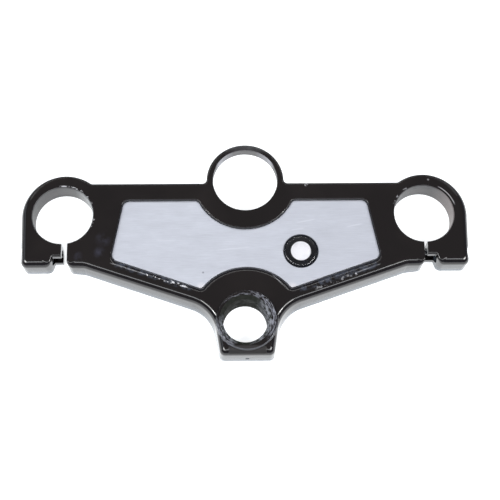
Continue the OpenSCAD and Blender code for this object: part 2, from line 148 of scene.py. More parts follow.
# Each lamp: name, two ends, width, radiance, colour.
LAMPS = [("front", (-0.72, -0.70, 1.2), (0.72, -0.70, 1.2), 0.30, 5.6, (0.93, 0.96, 1.0)),
         ("left", (-1.36, 0.14, 1.2), (-0.70, -0.60, 1.2), 0.36, 11.5, (1, 1, 1)),
         ("right", (0.70, -0.60, 1.2), (1.36, 0.14, 1.2), 0.36, 11.5, (1, 1, 1)),
         ("left_spot", (-1.08, -0.19, 1.2), (-0.98, -0.29, 1.2), 0.14, 45.0, (1, 1, 1)),
         ("right_spot", (0.98, -0.29, 1.2), (1.08, -0.19, 1.2), 0.14, 45.0, (1, 1, 1)),
         ("rear", (-0.85, 0.86, 1.2), (0.85, 0.86, 1.2), 0.10, 8.0, (1, 1, 1)),
         ("left_wall", (-1.5, -0.2, 0.75), (-1.5, 1.0, 0.75), 0.6, 1.0, (0.85, 0.94, 1.0))]

# The camera, fitted to the photo: place in metres, turns, focal length and shift in shares of the frame's width.
CAMERA_AT = (-0.01296, -0.16632, 0.60446)
CAMERA_TURN, CAMERA_HEIGHT, CAMERA_ROLL = math.radians(-4.695), math.radians(70.659), math.radians(4.026)
CAMERA_FOCAL, CAMERA_SHIFT = 1141.636 / 500, (-0.00355, -0.00045)
SENSOR = 36.0


def mirrored(corners):
    """The corners of the other side. A corner is x, y, radius, draft, edge radius before it and after it."""
    return [(-x, y, r, draft, after, before) for x, y, r, draft, before, after in reversed(corners)]


def corner_arc(p, ahead, behind):
    """Points of one rounded corner: centre, normal, draft, signed radius, slip, edge radius."""
    a0 = math.atan2(p[1] - behind[1], p[0] - behind[0])
    a1 = math.atan2(ahead[1] - p[1], ahead[0] - p[0])
    turn = (a1 - a0 + 3 * math.pi) % (2 * math.pi) - math.pi
    side = math.copysign(1, turn)
    reach = p[2] * math.tan(abs(turn) / 2)
    cx = p[0] - reach * math.cos(a0) - side * p[2] * math.sin(a0)
    cy = p[1] - reach * math.sin(a0) + side * p[2] * math.cos(a0)
    n = max(2, math.ceil(abs(turn) / STEP))
    both = 1 + math.cos(turn)
    slip = (-(math.sin(a0) + math.sin(a1)) / both, (math.cos(a0) + math.cos(a1)) / both)
    return [(cx, cy, math.sin(a0 + turn * i / n), -math.cos(a0 + turn * i / n), p[3], side * p[2],
             slip[0], slip[1], p[4] + (p[5] - p[4]) * i / n) for i in range(n + 1)]


def inset_point(p, inset):
    """A path point moved inwards. At a corner that would close up, it slides along the mitre instead."""
    r = max(p[5] - inset, LEAST_R) if p[5] > 0 else p[5] - inset
    slip = r + inset - p[5]
    return p[0] + r * p[2] + slip * p[6], p[1] + r * p[3] + slip * p[7]


def thin_out(points):
    """Drops a point where it repeats its neighbour."""
    kept = []
    for i, p in enumerate(points):
        a, b = inset_point(p, 0), inset_point(points[(i + 1) % len(points)], 0)
        if math.hypot(a[0] - b[0], a[1] - b[1]) > CLOSEST:
            kept.append(p)
    return kept


def round_path(corners):
    n = len(corners)
    return thin_out([p for i in range(n)
                     for p in corner_arc(corners[i], corners[(i + 1) % n], corners[i - 1])])


def arm_y(x):
    return LUG_Y + (x - BEND_X) * ARM_TAN


def half_body(side):
    """Corners of the right half, with the notch. The left half's are the same, mirrored."""
    lug_x = FORK_X + (CLAMP_R - (FORK_Y - LUG_Y) * math.sin(LUG_LEAN)) / math.cos(LUG_LEAN)
    side_mid = (math.pi / 2 - LUG_LEAN) / 2
    side_reach = CLAMP_R / math.cos((math.pi / 2 + LUG_LEAN) / 2)
    join = math.asin((REAR_Y + CLAMP_BLEND - FORK_Y) / (CLAMP_R + CLAMP_BLEND))
    join_mid = (math.pi / 2 + join) / 2
    join_reach = CLAMP_R / math.cos((math.pi / 2 - join) / 2)
    join_x = FORK_X - (CLAMP_R - (REAR_Y - FORK_Y) * math.sin(join)) / math.cos(join)
    rise = (BLOCK_SIDE - BLOCK_HALF) / BLOCK_FRONT
    crotch_x = (BLOCK_SIDE + rise * (LUG_Y - BEND_X * ARM_TAN)) / (1 - rise * ARM_TAN)
    slot, slot_in = SLOTS[side]
    inner = FORK_X - slot_in - slot / 2 - side * CAST_SHIFT
    notch_x = inner + slot + NOTCH_W
    notch_y = LUG_Y + NOTCH_DEEP
    bend_x = BEND_X - BEND_BACK
    e, far = EDGE_R, REAR_EDGE_R
    return [
        (BLOCK_HALF, -BLOCK_FRONT, BLOCK_CORNER, BLOCK_DRAFT, e, e),
        (crotch_x, arm_y(crotch_x), ARM_BLEND, ARM_DRAFT, e, e),
        (bend_x, arm_y(bend_x), 2 * LUG_CORNER, (ARM_DRAFT + LUG_DRAFT) / 2, e, e),
        (inner, LUG_Y, LUG_CORNER, LUG_DRAFT, e, SAW_EDGE),
        (inner, notch_y, NOTCH_CORNER, LUG_DRAFT, SAW_EDGE, NOTCH_EDGE),
        (notch_x, notch_y, NOTCH_CORNER, LUG_DRAFT, NOTCH_EDGE, NOTCH_EDGE),
        (notch_x + NOTCH_FLARE, LUG_Y, LUG_CORNER, LUG_DRAFT, NOTCH_EDGE, e),
        (lug_x, LUG_Y, LUG_CORNER, LUG_DRAFT, e, e),
        (FORK_X + side_reach * math.cos(side_mid), FORK_Y + side_reach * math.sin(side_mid),
         CLAMP_R, LUG_DRAFT, e, far),
        (FORK_X - join_reach * math.cos(join_mid), FORK_Y + join_reach * math.sin(join_mid),
         CLAMP_R, LUG_DRAFT, far, far),
        (join_x, REAR_Y, CLAMP_BLEND, LUG_DRAFT, far, far),
    ]


def recess_corners():
    x0 = RECESS_HALF + RECESS_FLARE
    k = RECESS_FRONT - x0 * ARM_TAN
    ca = math.cos(ARM_SLOPE)
    tip_k = k + TIP_R / ca
    tip_c = RECESS_STEM_R + TIP_R
    tip_x = (math.sqrt((tip_c / ca) ** 2 - tip_k ** 2) - ARM_TAN * tip_k) * ca ** 2
    tip_a = math.atan2(ARM_TAN * tip_x + tip_k, tip_x)
    tip_cx = (RECESS_STEM_R - k * math.sin(tip_a)) / (math.cos(tip_a) + ARM_TAN * math.sin(tip_a))
    lock_a = math.asin((LOCK_Y - RECESS_REAR + RECESS_LOCK_CORNER) / (RECESS_LOCK_R + RECESS_LOCK_CORNER))
    lock_cx = (RECESS_LOCK_R - (LOCK_Y - RECESS_REAR) * math.sin(lock_a)) / math.cos(lock_a)
    near, far = RIM_R, FAR_RIM_R
    half = [
        (tip_cx, k + ARM_TAN * tip_cx, TIP_R, 0, near, near),
        (x0, RECESS_FRONT, RECESS_CORNER, 0, near, far),
        (RECESS_HALF, RECESS_REAR, RECESS_CORNER, 0, far, far),
        (lock_cx, RECESS_REAR, RECESS_LOCK_CORNER, 0, far, far),
    ]
    return ([(0, RECESS_STEM_R / math.sin(tip_a), RECESS_STEM_R, 0, near, near)] + half
            + [(0, LOCK_Y - RECESS_LOCK_R / math.sin(lock_a), RECESS_LOCK_R, 0, far, far)] + mirrored(half))


BODY_PATH = round_path(half_body(1) + mirrored(half_body(-1)))
RECESS_PATH = round_path(recess_corners())


def ringed_path():
    """The upper outline: the body's, with the lock ring grown out of its rear edge."""
    rear = REAR_Y - LUG_DRAFT
    mid_y = rear + RING_BLEND
    mid_x = math.sqrt((RING_R + RING_BLEND) ** 2 - (LOCK_Y - mid_y) ** 2)
    touch = math.atan2(mid_y - LOCK_Y, mid_x)
    n = math.ceil((math.pi / 2 - touch) / STEP)
    blend = []
    for i in range(n + 1):
        a = -math.pi / 2 - (math.pi / 2 - touch) * i / n
        blend.append((mid_x, mid_y, -math.cos(a), -math.sin(a), 0, -RING_BLEND, 0, 0,
                      REAR_EDGE_R + (RING_EDGE - REAR_EDGE_R) * i / n))
    n = math.ceil((math.pi - 2 * touch) / STEP)
    arc = []
    for i in range(1, n):
        a = touch + (math.pi - 2 * touch) * i / n
        arc.append((0, LOCK_Y, math.cos(a), math.sin(a), 0, RING_R, 0, 0, RING_EDGE))
    other = [(-p[0], p[1], -p[2], p[3]) + tuple(p[4:]) for p in reversed(blend)]
    spot = [inset_point(p, 0) for p in BODY_PATH]
    cut = next(i for i in range(len(spot))
               if spot[i][0] > 0 > spot[(i + 1) % len(spot)][0] and spot[i][1] > FORK_Y)
    return BODY_PATH[:cut + 1] + blend + arc + other + BODY_PATH[cut + 1:]


def new_object(name, bm):
    mesh = bpy.data.meshes.new(name)
    bm.normal_update()
    bm.to_mesh(mesh)
    bm.free()
    obj = bpy.data.objects.new(name, mesh)
    bpy.context.scene.collection.objects.link(obj)
    return obj


def loft(name, path, levels, dx=0.0):
    """A solid through rings of one path. Each level is (height, inset, share of the draft),
    then how much of the point's edge radius goes into the inset and into the height."""
    bm = bmesh.new()
    rings = []
    for z, inset, share, out, down in levels:
        ring = []
        for p in path:
            x, y = inset_point(p, inset + share * p[4] + out * p[8])
            ring.append(bm.verts.new(((x + dx) * MM, y * MM, (z - down * p[8]) * MM)))
        rings.append(ring)
    n = len(path)
    for low, high in zip(rings, rings[1:]):
        for i in range(n):
            j = (i + 1) % n
            bm.faces.new((low[i], low[j], high[j], high[i]))
    bm.faces.new(list(reversed(rings[0])))
    bm.faces.new(rings[-1])
    return new_object(name, bm)


def turned(name, profile, x=0.0, y=0.0, axis="Z", steps=ROUND):
    """A turned solid through (radius, height) pairs. A radius of 0 closes it on the axis."""
    bm = bmesh.new()
    rings = []
    around = [2 * math.pi * i / steps for i in range(steps)]
    for r, z in profile:
        if r == 0:
            rings.append([bm.verts.new((0, 0, z))])
        else:
            rings.append([bm.verts.new((r * math.cos(a), r * math.sin(a), z)) for a in around])
    for low, high in zip(rings, rings[1:]):
        for i in range(steps):
            j = (i + 1) % steps
            if len(low) == 1:
                bm.faces.new((low[0], high[j], high[i]))
            elif len(high) == 1:
                bm.faces.new((low[i], low[j], high[0]))
            else:
                bm.faces.new((low[i], low[j], high[j], high[i]))
    if len(rings[0]) > 1:
        bm.faces.new(list(reversed(rings[0])))
    if len(rings[-1]) > 1:
        bm.faces.new(rings[-1])
    turn = Matrix.Rotation(math.pi / 2, 4, "Y") if axis == "X" else Matrix.Identity(4)
    put_at = Matrix.Diagonal((MM, MM, MM, 1)) @ Matrix.Translation((x, y, 0)) @ turn
    bmesh.ops.transform(bm, matrix=put_at, verts=bm.verts)
    bmesh.ops.recalc_face_normals(bm, faces=bm.faces)
    return new_object(name, bm)


def prism(name, outline, z0, z1):
    """An upright solid over an outline, between two heights."""
    bm = bmesh.new()
    low = [bm.verts.new((x * MM, y * MM, z0 * MM)) for x, y in outline]
    high = [bm.verts.new((x * MM, y * MM, z1 * MM)) for x, y in outline]
    for i in range(len(low)):
        j = (i + 1) % len(low)
        bm.faces.new((low[i], low[j], high[j], high[i]))
    bm.faces.new(list(reversed(low)))
    bm.faces.new(high)
    bmesh.ops.recalc_face_normals(bm, faces=bm.faces)
    return new_object(name, bm)


def combine(base, others, operation):
    """Applies a boolean of several objects to base, and removes them."""
    group = bpy.data.collections.new("cutters")
    for o in others:
        group.objects.link(o)
    mod = base.modifiers.new("combine", "BOOLEAN")
    mod.operation = operation
    mod.solver = "EXACT"
    mod.operand_type = "COLLECTION"
    mod.collection = group
    bpy.context.view_layer.update()
    done = bpy.data.meshes.new_from_object(base.evaluated_get(bpy.context.evaluated_depsgraph_get()))
    base.modifiers.clear()
    old = base.data
    base.data = done
    done.name = base.name
    bpy.data.meshes.remove(old)
    for o in others:
        bpy.data.objects.remove(o)
    bpy.data.collections.remove(group)
    return base


def rounding(top, inward, share, steps=FILLET):
    """Levels of a rounded top edge, with each point's own edge radius."""
    turns = [math.pi / 2 * i / steps for i in range(steps + 1)]
    return [(top, 0, share, inward * (1 - math.cos(a)), 1 - math.sin(a)) for a in turns]


def share_at(z):
    """How much of the draft a wall has taken at a height."""
    return (z - BASE_BREAK) / (THICK - EDGE_R - BASE_BREAK)


def make_casting():
    """The whole casting: lower and upper body, recess and pockets, pad and bosses, then the holes."""
    low = THICK - RING_H
    share = share_at(low)
    lower = loft("yoke", BODY_PATH, [(0, BASE_BREAK + LOWER_INSET, 0, 0, 0), (BASE_BREAK, LOWER_INSET, 0, 0, 0),
                                     (low, LOWER_INSET, share, 0, 0),
                                     (low + OVER, LOWER_LID_INSET, share, 0, 0)], CAST_SHIFT)
    upper = loft("upper", ringed_path(), [(low, 0, share, 0, 0)] + rounding(THICK, 1, 1), CAST_SHIFT)
    combine(lower, [upper], "UNION")
    recess = loft("recess", RECESS_PATH,
                  [(INLAY_Z, 0, 0, 0, 0)] + rounding(THICK, -1, 0) + [(THICK + OVER, 0, 0, -1, 0)], CAST_SHIFT)
    combine(lower, [recess] + underside_pockets(), "DIFFERENCE")
    high = THICK + PAD_H
    turns = [math.pi / 2 * i / FILLET for i in range(FILLET + 1)]
    edge = [(PAD_R - PAD_EDGE * (1 - math.cos(a)), high - PAD_EDGE * (1 - math.sin(a))) for a in turns]
    pad = turned("pad", [(0, THICK - EDGE_R), (PAD_R, THICK - EDGE_R)] + edge + [(0, high)], CAST_SHIFT)
    bosses = [turned("boss", [(LOCK_BOSS_R, BOSS_LIFT), (LOCK_BOSS_R, INLAY_Z - OVER)],
                     CAST_SHIFT + side * LOCK_SCREW[0], LOCK_SCREW[1]) for side in (1, -1)]
    combine(lower, [pad] + bosses, "UNION")
    combine(lower, machined_cuts(), "DIFFERENCE")
    return lower


def underside_pockets():
    """Three pockets between ribs under each arm, and one on each side of the middle rib."""
    pockets = []
    out_x = FORK_X - CLAMP_R - RIB_W
    in_x = LOCK_R + 1.5 * RIB_W
    width = (out_x - in_x - (POCKETS - 1) * RIB_W) / POCKETS
    rear = REAR_Y - POCKET_WALL
    wall = POCKET_WALL / math.cos(ARM_SLOPE)
    for side in (1, -1):
        for i in range(POCKETS):
            x0 = in_x + i * (width + RIB_W)
            x1 = x0 + width
            corners = [(x0, arm_y(x0) + wall), (x1, arm_y(x1) + wall), (x1, rear), (x0, rear)]
            pockets.append(pocket("pocket%d%d" % (side, i), corners, side))
        x0, x1 = RIB_W / 2, in_x - RIB_W
        y0, y1 = RECESS_STEM_R - RIB_W, LOCK_Y - LOCK_R - POCKET_WALL
        pockets.append(pocket("middle%d" % side, [(x0, y0), (x1, y0), (x1, y1), (x0, y1)], side))
    return pockets


def pocket(name, corners, side):
    corners = [(x, y, POCKET_CORNER, POCKET_DRAFT, POCKET_EDGE, POCKET_EDGE) for x, y in corners]
    path = round_path(corners if side > 0 else mirrored(corners))
    levels = [(-OVER, 0, 0, 0, 0), (0, 0, 0, 0, 0)] + rounding(POCKET_DEEP, 1, 1, POCKET_FILLET)
    return loft(name, path, levels, CAST_SHIFT)


def fork_cuts(side):
    """One clamp's bore, saw cut, bolt hole with spot face, and tapped hole."""
    slot, slot_in = SLOTS[side]
    top = THICK + 3 * OVER
    bore = turned("fork", [(FORK_R + FORK_UNDERCUT + OVER, -OVER), (FORK_R, FORK_UNDERCUT),
                           (FORK_R, THICK - FORK_CHAMFER), (FORK_R + FORK_CHAMFER + 3 * OVER, top)],
                  side * FORK_X, FORK_Y)
    mid = FORK_X - slot_in
    inner, outer = mid - slot / 2, mid + slot / 2
    front, back = LUG_Y + NOTCH_DEEP - OVER, FORK_Y - SLOT_REACH
    outline = [(inner, back), (inner, front), (outer, front), (outer, back)]
    cuts = [bore, prism("slot", [(side * x, y) for x, y in outline], -OVER, THICK + 2 * OVER)]
    face = FORK_X + CLAMP_R - PINCH_FACE
    bolt = [(PINCH_R, mid), (PINCH_R, face), (PINCH_FACE_R, face), (PINCH_FACE_R, face + 6 * OVER)]
    tap = [(PINCH_TAP_R, inner - PINCH_DEEP), (PINCH_TAP_R, mid)]
    for name, profile in (("bolt", bolt), ("tap", tap)):
        hole = turned(name, profile, axis="X", steps=BOLT_ROUND)
        move = Matrix.Translation((0, (LUG_Y + PINCH_Y) * MM, THICK / 2 * MM))
        if side < 0:
            move = Matrix.Diagonal((-1, 1, 1, 1)) @ move
        hole.data.transform(move)
        if side < 0:
            hole.data.flip_normals()
        cuts.append(hole)
    return cuts


def machined_cuts():
    """Every hole of the casting, and the punch mark on the front of its block."""
    cuts = [cut for side in SLOTS for cut in fork_cuts(side)]
    cuts.append(turned("stem", [(STEM_R, -OVER), (STEM_R, THICK + PAD_H - STEM_CHAMFER),
                                (STEM_R + STEM_CHAMFER + OVER, THICK + PAD_H + OVER)]))
    low = THICK - RING_H
    cuts.append(turned("lock", [(LOCK_R + LOCK_RELIEF, -OVER), (LOCK_R + LOCK_RELIEF, low),
                                (LOCK_R + LOCK_UNDERCUT, low), (LOCK_R, low + LOCK_UNDERCUT),
                                (LOCK_R, THICK - LOCK_CHAMFER),
                                (LOCK_R + LOCK_CHAMFER + OVER, THICK + OVER)], CAST_SHIFT, LOCK_Y))
    turns = [math.radians(a) for a in range(-75, 90, 15)]
    ball = [(0, -PUNCH_R)] + [(PUNCH_R * math.cos(a), PUNCH_R * math.sin(a)) for a in turns] + [(0, PUNCH_R)]
    punch = turned("punch", ball, steps=PUNCH_ROUND)
    punch.data.transform(Matrix.Translation((CAST_SHIFT * MM, -BLOCK_FRONT * MM, PUNCH_Z * MM)))
    cuts.append(punch)
    for side in (1, -1):
        cuts.append(turned("tap", [(LOCK_TAP_R, -OVER), (LOCK_TAP_R, LOCK_TAP_DEEP)],
                           CAST_SHIFT + side * LOCK_SCREW[0], LOCK_SCREW[1], steps=BOLT_ROUND))
    return cuts


def with_alpha(value):
    return tuple(value) + (1,) if isinstance(value, tuple) and len(value) == 3 else value


class Shader:
    """A node tree being built. Masks are 0 to 1, and their places and sizes are in millimetres."""

    def __init__(self, tree):
        self.tree = tree
        tree.nodes.clear()

    def locate(self):
        """Adds the object coordinates that the masks and noises need."""
        self.where = self.node("ShaderNodeTexCoord").outputs["Object"]
        parts = self.node("ShaderNodeSeparateXYZ", {0: self.where})
        self.x, self.y, self.z = (parts.outputs[axis] for axis in "XYZ")

    def node(self, kind, inputs=None, **props):
        node = self.tree.nodes.new(kind)
        for key, value in props.items():
            setattr(node, key, value)
        for key, value in (inputs or {}).items():
            if isinstance(value, bpy.types.NodeSocket):
                self.tree.links.new(value, node.inputs[key])
            else:
                node.inputs[key].default_value = value
        return node

    def maths(self, operation, a, b=0.0):
        return self.node("ShaderNodeMath", {0: a, 1: b}, operation=operation).outputs[0]

    def times(self, a, b):
        return self.maths("MULTIPLY", a, b)

    def plus(self, a, b):
        return self.maths("ADD", a, b)

    def gap(self, a, b):
        return self.maths("ABSOLUTE", self.maths("SUBTRACT", a, b))

    def without(self, mask):
        return self.maths("SUBTRACT", 1.0, mask)

    def both(self, *masks):
        total = masks[0]
        for mask in masks[1:]:
            total = self.times(total, mask)
        return total

    def either(self, *masks):
        total = masks[0]
        for mask in masks[1:]:
            total = self.maths("MAXIMUM", total, mask)
        return total

    def vector_maths(self, operation, a, b=None, result=0):
        inputs = {0: a} if b is None else {0: a, 1: b}
        return self.node("ShaderNodeVectorMath", inputs, operation=operation).outputs[result]

    def mapped(self, scale, rotation=0.0):
        """Object coordinates, scaled and then turned about the vertical."""
        return self.node("ShaderNodeMapping", {"Vector": self.where, "Scale": scale,
                                               "Rotation": (0, 0, rotation)}).outputs[0]

    def noise(self, scale, detail, rough=0.5, vector=None):
        return self.node("ShaderNodeTexNoise", {"Vector": vector or self.where, "Scale": scale, "Detail": detail,
                                                "Roughness": rough}).outputs["Fac"]

    def ramp(self, value, low, high, out_low=0.0, out_high=1.0):
        return self.node("ShaderNodeMapRange", {"Value": value, "From Min": low, "From Max": high,
                                                "To Min": out_low, "To Max": out_high}).outputs[0]

    def edge(self, value, off, on, most=1.0):
        """0 where a length is at off, most where it is at on."""
        return self.ramp(value, off * MM, on * MM, 0, most)

    def speckle(self, scale, detail, low, high, most=1.0, least=0.0):
        """Noise cut to a mask: least at its low level, most at its high one."""
        return self.ramp(self.noise(scale, detail), low, high, least, most)

    def swirl(self, rings, turns, rise, low, high):
        """Scratches that run round the stem."""
        around = self.maths("ARCTAN2", self.y, self.x)
        vector = self.node("ShaderNodeCombineXYZ", {"X": self.times(self.reach(self.where), rings),
                                                    "Y": self.times(around, turns),
                                                    "Z": self.times(self.z, rise)}).outputs[0]
        return self.ramp(self.noise(1.0, 4, 0.6, vector), low, high)

    def reach(self, vector):
        """A vector's length in the top view."""
        flat = self.vector_maths("MULTIPLY", vector, (1, 1, 0))
        return self.vector_maths("LENGTH", flat, result="Value")

    def spot(self, x, y, radius, soft):
        away = self.vector_maths("ADD", self.where, (-x * MM, -y * MM, 0))
        return self.edge(self.reach(away), radius, radius - soft)

    def ring(self, x, y, inner, outer, soft=0.15):
        return self.both(self.spot(x, y, outer, soft), self.without(self.spot(x, y, inner, soft)))

    def band(self, start, end, width, soft=0.25):
        """A straight band of the top view, width to either side, with ends that fade over 2 mm."""
        dx, dy = end[0] - start[0], end[1] - start[1]
        length = math.hypot(dx, dy)
        dx, dy = dx / length, dy / length
        away = self.vector_maths("ADD", self.where, (-start[0] * MM, -start[1] * MM, 0))
        along = self.vector_maths("DOT_PRODUCT", away, (dx, dy, 0), "Value")
        across = self.vector_maths("DOT_PRODUCT", away, (-dy, dx, 0), "Value")
        inside = self.edge(self.gap(along, length / 2 * MM), length / 2 + 1, length / 2 - 1)
        return self.both(inside, self.edge(self.maths("ABSOLUTE", across), width + soft, width - soft))

    def mix(self, share, a, b):
        """Colour a, or b where share is 1."""
        node = self.node("ShaderNodeMix", {0: share, 6: with_alpha(a), 7: with_alpha(b)}, data_type="RGBA")
        return node.outputs[2]

    def bump(self, height, strength, distance):
        return self.node("ShaderNodeBump", {"Height": height, "Strength": strength,
                                            "Distance": distance}).outputs[0]

    def principled(self, **inputs):
        """Ends the material in a Principled BSDF. An input's name has _ for each space."""
        named = {key.replace("_", " "): value for key, value in inputs.items()}
        self.surface(self.node("ShaderNodeBsdfPrincipled", named).outputs[0])

    def surface(self, shader):
        self.node("ShaderNodeOutputMaterial", {"Surface": shader})


def material(name, located=True):
    mat = bpy.data.materials.new(name)
    mat.use_nodes = True
    s = Shader(mat.node_tree)
    if located:
        s.locate()
    return mat, s


def rim_mottle_and_smudges(s, base):
    """Paler grey-blue mottling along the recess's front rims, and smudges beside the left clamp."""
    rims = s.either(s.band(*LEFT_RIM, 1.7, 0.6), s.band(*RIGHT_RIM, 1.7, 0.6))
    base = s.mix(s.both(rims, s.speckle(330, 4, 0.42, 0.68, 0.9)), base, RIM_MOTTLE)
    blotch = s.speckle(190, 3, 0.4, 0.7)
    smudges = s.either(*[s.both(s.spot(x, y, r, 0.9 * r), blotch) for x, y, r in SMUDGES])
    return s.mix(s.times(smudges, 0.8), base, SMUDGE)


def pad_scratches_and_highlights(s, base):
    """Scratches on the pad round the stem, a painted highlight mixed into the scratches on its rear arc, and a
    painted highlight along its front edge.
    """
    right = s.both(s.ring(0, 0, *PAD_RIGHT), s.edge(s.plus(s.x, s.times(s.y, 0.35)), 7, 13))
    left = s.both(s.ring(0, 0, *PAD_LEFT), s.edge(s.x, -5, -9), s.edge(s.y, 2, -4))
    # The rear arc is a painted highlight, broken up by the same scratch pattern.
    rear = s.both(s.ring(0, 0, *PAD_REAR_HIGHLIGHT), s.edge(s.y, 9, 12, 0.6))
    worn = s.both(s.either(right, s.times(left, 0.8), rear), s.swirl(1500.0, 5.0, 0.0, 0.45, 0.62))
    base = s.mix(s.times(worn, 0.85), base, PAD_SCRATCH_AND_HIGHLIGHT)
    # A painted highlight along the pad's front edge.
    pad_highlight = s.both(s.ring(CAST_SHIFT, 0, PAD_R - 0.75, PAD_R + 0.02, 0.2), s.edge(s.y, 2, -4),
                  s.edge(s.z, 15.2, 15.4))
    return s.mix(s.times(pad_highlight, 0.55), base, PAD_EDGE_HIGHLIGHT)


def painted_floor_reflection(s, base):
    """Walls that grow paler towards the floor, a painted reflection of the floor. The notches and the punch mark
    stay dark.
    """
    # Painted reflection of the floor: the colour grows paler towards the bottom of the walls.
    low = s.edge(s.plus(s.z, s.times(s.noise(120, 3), 1.5 * MM)), 10.5, 1.5)
    low = s.times(s.maths("POWER", low, 1.5), 0.95)
    across = s.gap(s.maths("ABSOLUTE", s.x), NOTCH_MID * MM)
    notch = s.both(s.edge(across, NOTCH_HALF + 0.6, NOTCH_HALF), s.edge(s.y, 32.5, 34), s.edge(s.y, 43, 42))
    base = s.mix(s.both(low, s.without(notch)), base, FLOOR_REFLECTION_TINT)
    punch = s.both(s.spot(CAST_SHIFT, -BLOCK_FRONT, PUNCH_R + 0.1, 0.5), s.edge(s.gap(s.z, PUNCH_Z * MM), 1.3, 0.8))
    return s.mix(punch, base, PUNCH_GREY)


def chip_and_highlight_mask(s):
    """The mask of bare metal and painted highlights: chipped paint at rims, worn edges of the fork bores, a thin
    pale arc on the right bore's rim, and thin painted highlights along the recess's rims.
    """
    left = s.both(s.band(*LEFT_CHIPS, 0.75), s.speckle(620, 1, 0.53, 0.58))
    right = s.both(s.band(*RIGHT_CHIPS, 0.9), s.speckle(480, 2, 0.52, 0.64, 0.28))
    grit = s.noise(900, 2)
    marks = [s.both(s.spot(x, y, r, 0.4), s.ramp(grit, 0.36, 0.48, 0, share)) for x, y, r, share in CHIPS]
    ragged = s.speckle(520, 3, 0.52, 0.6)
    rim_left = s.both(s.ring(-FORK_X, FORK_Y, *BORE_RIM_LEFT), s.edge(s.x, -104, -101), s.edge(s.y, 67, 70), ragged)
    rim_right = s.both(s.ring(FORK_X, FORK_Y, *BORE_RIM_RIGHT), s.edge(s.x, 94, 90), s.edge(s.y, 66, 69), ragged)
    arc = s.both(s.ring(FORK_X, FORK_Y, *BORE_ARC), s.edge(s.x, 108.5, 110.5), s.edge(s.y, 65.5, 67.5))
    broken = s.speckle(260, 2, 0.32, 0.55, 1, 0.25)
    # Thin painted highlights along the recess's rims, one of them beside the stem.
    rim_highlight_strokes = s.either(*[s.both(s.band(start, end, 0.22, 0.2), broken) for start, end in RIM_HIGHLIGHTS])
    return s.either(left, right, s.times(rim_highlight_strokes, 0.3), s.times(rim_left, 0.6), s.times(rim_right, 0.3),
                    s.times(arc, 0.42), *marks)


def paint_material():
    """Gloss black paint with rim mottling, smudges, scratches and chipped paint, painted highlights on the rims and
    the pad, a painted sheen at the ring's rear, and a painted floor reflection on the walls.
    """
    mat, s = material("gloss_black_paint")
    haze = s.noise(40, 3)
    base = s.mix(s.ramp(haze, 0.45, 0.75), PAINT, PAINT_HAZE)
    base = pad_scratches_and_highlights(s, rim_mottle_and_smudges(s, base))
    # Grey haze with a painted sheen along the ring's rear edge.
    ring_rear = s.both(s.edge(s.y, 96.5, 100.5), s.speckle(140, 3, 0.35, 0.65, 1, 0.3))
    # Painted floor reflection on the walls.
    base = painted_floor_reflection(s, s.mix(ring_rear, base, RING_HAZE_AND_SHEEN))
    chips_and_highlights = chip_and_highlight_mask(s)
    # Bare metal where the paint is chipped, and the painted highlights, in one pale colour.
    base = s.mix(chips_and_highlights, base, BARE_METAL_AND_HIGHLIGHT)
    block_front = s.both(s.edge(s.y, -13.5, -15), s.edge(s.z, 12.5, 13.5),
                         s.edge(s.gap(s.x, CAST_SHIFT * MM), 10.5, 9.5))
    rough = s.plus(s.ramp(haze, 0.3, 0.8, 0.06, 0.13), s.times(chips_and_highlights, 0.5))
    rough = s.plus(rough, s.times(block_front, 0.6))
    peel = s.noise(260, 2)
    s.principled(Base_Color=base, Roughness=rough, IOR=1.5,
                 Normal=s.bump(s.maths("SUBTRACT", peel, chips_and_highlights), 0.10, 0.0004))
    return mat


def bore_material():
    """Machined fork bores with painted reflections: pale at the left bore's right, warm at the right bore's right.
    """
    mat, s = material("machined_bore")
    grain = s.noise(160, 3, vector=s.mapped((1, 1, 30)))
    base = s.mix(s.noise(70, 3, vector=s.mapped((1, 1, 6))), BORE_DARK, BORE_GREY)
    # Painted reflections: pale at the left bore's right, warm at the right bore's right.
    base = s.mix(s.both(s.edge(s.x, -94, -83), s.edge(s.x, -70, -80)), base, BORE_PALE_REFLECTION)
    base = s.mix(s.edge(s.x, 106, 117), base, BORE_WARM_REFLECTION)
    s.principled(Base_Color=base, Roughness=0.5, Metallic=0.5, Normal=s.bump(grain, 0.3, 0.0003))
    return mat


def ring_material():
    """The lock ring's wall: black beside the lock, grey at the rear, with painted highlights at the two ends of the
    rear.
    """
    mat, s = material("lock_ring_wall")
    rear = s.edge(s.y, LOCK_Y + 7.5, LOCK_Y + 11)
    # Painted highlights at the two ends of the rear.
    ends = s.both(s.edge(s.gap(s.x, CAST_SHIFT * MM), 6, 14.5), rear)
    grey = s.mix(s.noise(110, 3, vector=s.mapped((1, 1, 4))), RING_DARK, RING_GREY)
    base = s.mix(ends, s.mix(rear, RING_BLACK, grey), RING_END_HIGHLIGHT)
    s.principled(Base_Color=base, Roughness=0.4, IOR=1.45)
    return mat


def stem_material():
    """The stem bore and the rim it is chamfered with: dark, rough and scratched."""
    mat, s = material("scratched_stem_bore")
    rust = s.mix(s.noise(420, 4), STEM_DARK, STEM_RUST)
    side = s.edge(s.maths("SUBTRACT", s.x, s.times(s.y, 0.2)), 4, 11)
    lower = s.both(s.edge(s.x, -4, -9), s.edge(s.y, 4, -4))
    worn = s.both(s.either(side, lower), s.swirl(1300.0, 6.0, 900.0, 0.42, 0.58))
    base = s.mix(s.times(worn, 0.9), rust, STEM_SCRATCH)
    s.principled(Base_Color=base, Roughness=s.ramp(s.noise(300, 2), 0.3, 0.7, 0.5, 0.9), IOR=1.45,
                 Specular_IOR_Level=0.06, Normal=s.bump(s.noise(800, 3), 0.5, 0.0006))
    return mat


